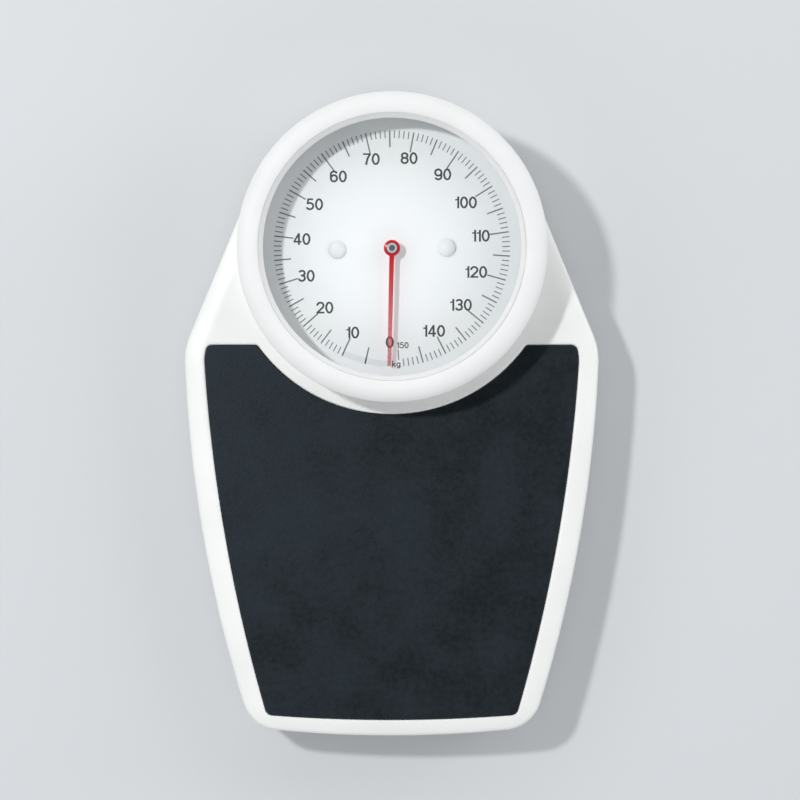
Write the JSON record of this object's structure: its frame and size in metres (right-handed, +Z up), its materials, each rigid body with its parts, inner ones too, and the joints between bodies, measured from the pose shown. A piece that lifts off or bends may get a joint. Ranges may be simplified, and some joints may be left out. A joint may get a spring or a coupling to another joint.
{
  "type": "mechanical personal scale",
  "caption": "Mechanical personal scale: a low tapering step-on platform with a dark rubber mat and a round pointer dial in a raised tower at the rear.",
  "frame": {"origin": "on the floor under the middle of the scale's bounding box, at the soles of the feet", "axes": "+X to the user's right, +Y from the tread towards the dial tower, +Z up"},
  "size_m": [0.31, 0.4794, 0.112],
  "materials": {
    "white_lacquer": "gloss white enamel",
    "white_moulding": "gloss white moulding",
    "dark_rubber": "matt, fine grained",
    "clear_sheet": "clear, polished",
    "dial_print": "printed dial, satin",
    "red_plastic": "satin red",
    "grey_plastic": "satin grey",
    "zinc_steel": "zinc plated",
    "spring_steel": "drawn wire",
    "brass": "machined"
  },
  "bodies": {
    "base": {"base_plate": "white_lacquer", "foot_front_left": "dark_rubber", "foot_front_right": "dark_rubber", "foot_rear_left": "dark_rubber", "foot_rear_right": "dark_rubber", "fulcrum_bracket_front_left": "zinc_steel", "fulcrum_bracket_front_right": "zinc_steel", "fulcrum_bracket_rear_left": "zinc_steel", "fulcrum_bracket_rear_right": "zinc_steel", "spring_gantry": "zinc_steel", "crank_bracket": "zinc_steel", "crank_pin": "zinc_steel", "crank_spring": "spring_steel", "column_front_left": "zinc_steel", "column_front_right": "zinc_steel", "column_rear_left": "zinc_steel", "column_rear_right": "zinc_steel", "lower_movement_plate": "zinc_steel", "upper_movement_plate": "zinc_steel", "rack_spool_front": "brass", "rack_spool_rear": "brass", "plate_spacer_front": "brass", "plate_spacer_rear": "brass", "dial_face": "dial_print", "dial_stud_left": "white_moulding", "dial_stud_right": "white_moulding", "retaining_spring_left": "spring_steel", "retaining_spring_right": "spring_steel"},
    "platform": {"platform_cover": "white_lacquer", "tread_mat": "dark_rubber", "bezel_ring": "white_moulding", "dial_window": "clear_sheet", "bearing_front_left": "zinc_steel", "bearing_front_right": "zinc_steel", "bearing_rear_left": "zinc_steel", "bearing_rear_right": "zinc_steel"},
    "long_lever_left": {"long_lever_left": "zinc_steel"},
    "long_lever_right": {"long_lever_right": "zinc_steel"},
    "short_lever_left": {"short_lever_left": "zinc_steel"},
    "short_lever_right": {"short_lever_right": "zinc_steel"},
    "lever_link_left": {"lever_link_left": "zinc_steel"},
    "lever_link_right": {"lever_link_right": "zinc_steel"},
    "nose": {"nose_plate": "zinc_steel"},
    "hanger": {"spring_hanger": "zinc_steel", "main_spring": "spring_steel"},
    "zero_wheel": {"thumb_wheel": "grey_plastic", "zero_screw": "zinc_steel"},
    "crank": {"bell_crank": "zinc_steel"},
    "rack": {"rack": "brass"},
    "pointer": {"pointer": "red_plastic", "pointer_hub": "grey_plastic", "pointer_arbor": "zinc_steel", "pinion": "brass"}
  },
  "joints": [
    {"name": "platform_travel", "type": "slide", "parent": "base", "child": "platform", "axis": [0, 0, -1], "range_m": [0, 0.00075], "stiffness_N_per_m": 400000, "springref_m": -0.0003, "deforming": ["retaining_spring_left", "retaining_spring_right"]},
    {"name": "long_lever_left_pivot", "type": "hinge", "parent": "base", "child": "long_lever_left", "pos_m": [-0.0945, -0.195, 0.026], "axis": [1, 0, 0], "range_deg": [-1.8, 0]},
    {"name": "short_lever_left_pivot", "type": "hinge", "parent": "base", "child": "short_lever_left", "pos_m": [-0.11598, 0.09494, 0.026], "axis": [1, 0, 0], "range_deg": [0, 1.8]},
    {"name": "lever_link_left_slide", "type": "slide", "parent": "base", "child": "lever_link_left", "axis": [0, 0, -1], "range_m": [0, 0.00456]},
    {"name": "long_lever_right_pivot", "type": "hinge", "parent": "base", "child": "long_lever_right", "pos_m": [0.0945, -0.195, 0.026], "axis": [1, 0, 0], "range_deg": [-1.8, 0]},
    {"name": "short_lever_right_pivot", "type": "hinge", "parent": "base", "child": "short_lever_right", "pos_m": [0.11598, 0.09494, 0.026], "axis": [1, 0, 0], "range_deg": [0, 1.8]},
    {"name": "lever_link_right_slide", "type": "slide", "parent": "base", "child": "lever_link_right", "axis": [0, 0, -1], "range_m": [0, 0.00456]},
    {"name": "nose_drop", "type": "slide", "parent": "base", "child": "nose", "axis": [0, 0, -1], "range_m": [0, 0.0125], "deforming": ["main_spring"]},
    {"name": "crank_swing", "type": "hinge", "parent": "base", "child": "crank", "pos_m": [-0.01124, 0.18305, 0.02816], "axis": [1, 0, 0], "range_deg": [-45.05, 0]},
    {"name": "rack_travel", "type": "slide", "parent": "base", "child": "rack", "axis": [0, 1, 0], "range_m": [0, 0.0261]},
    {"name": "pointer_turn", "type": "hinge", "parent": "base", "child": "pointer", "pos_m": [0, 0.12465, 0.075], "axis": [0, 0, 1], "range_deg": [-355.3, 0]},
    {"name": "hanger_lift", "type": "slide", "parent": "base", "child": "hanger", "axis": [0, 0, 1], "range_m": [-0.0008, 0.0008]},
    {"name": "zero_wheel_turn", "type": "hinge", "parent": "base", "child": "zero_wheel", "pos_m": [0, 0.21305, 0.0072], "axis": [0, 0, 1], "range_deg": [-361, 361]}
  ],
  "couplings": [
    {"joint": "long_lever_left_pivot", "follows": "platform_travel", "rad_per_m": -41.667},
    {"joint": "short_lever_left_pivot", "follows": "platform_travel", "rad_per_m": 41.667},
    {"joint": "lever_link_left_slide", "follows": "platform_travel", "ratio": 6.0405},
    {"joint": "long_lever_right_pivot", "follows": "platform_travel", "rad_per_m": -41.667},
    {"joint": "short_lever_right_pivot", "follows": "platform_travel", "rad_per_m": 41.667},
    {"joint": "lever_link_right_slide", "follows": "platform_travel", "ratio": 6.0405},
    {"joint": "nose_drop", "follows": "platform_travel", "ratio": 16.627},
    {"joint": "crank_swing", "follows": "platform_travel", "rad_per_m": -1047.2},
    {"joint": "rack_travel", "follows": "platform_travel", "ratio": 34.717},
    {"joint": "pointer_turn", "follows": "platform_travel", "rad_per_m": -8265.9},
    {"joint": "zero_wheel_turn", "follows": "hanger_lift", "rad_per_m": 7854}
  ]
}
